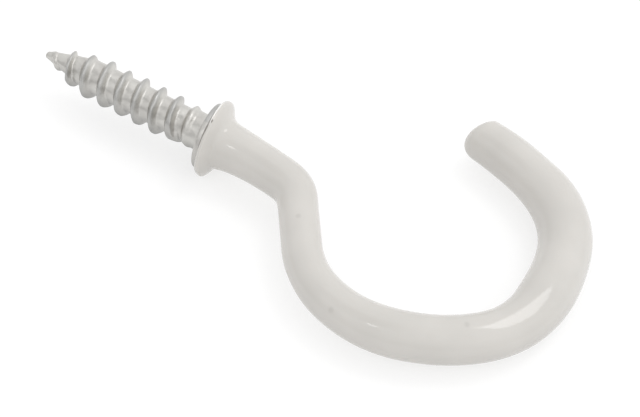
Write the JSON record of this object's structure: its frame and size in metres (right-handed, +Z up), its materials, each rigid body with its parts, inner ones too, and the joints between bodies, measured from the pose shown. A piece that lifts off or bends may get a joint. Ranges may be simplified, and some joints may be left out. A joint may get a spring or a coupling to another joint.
{
  "type": "screw hook",
  "caption": "Shouldered screw-in hook with a coarse wood-screw thread and a round bow; its wire and collar are coated in off-white plastic.",
  "frame": {"origin": "on the floor, under the middle of the whole hook's bounding box", "axes": "+X from the screw's point towards the bow, +Y towards the side of the hook's free end, +Z up from the side that the hook lies on"},
  "size_m": [0.0562, 0.0292, 0.0075],
  "materials": {
    "zinc_plated_steel": "bright zinc plating over rolled steel",
    "off_white_plastic": "dipped off-white PVC, soft gloss"
  },
  "bodies": {
    "root": {"steel_hook": "zinc_plated_steel", "plastic_coating": "off_white_plastic"}
  },
  "joints": []
}
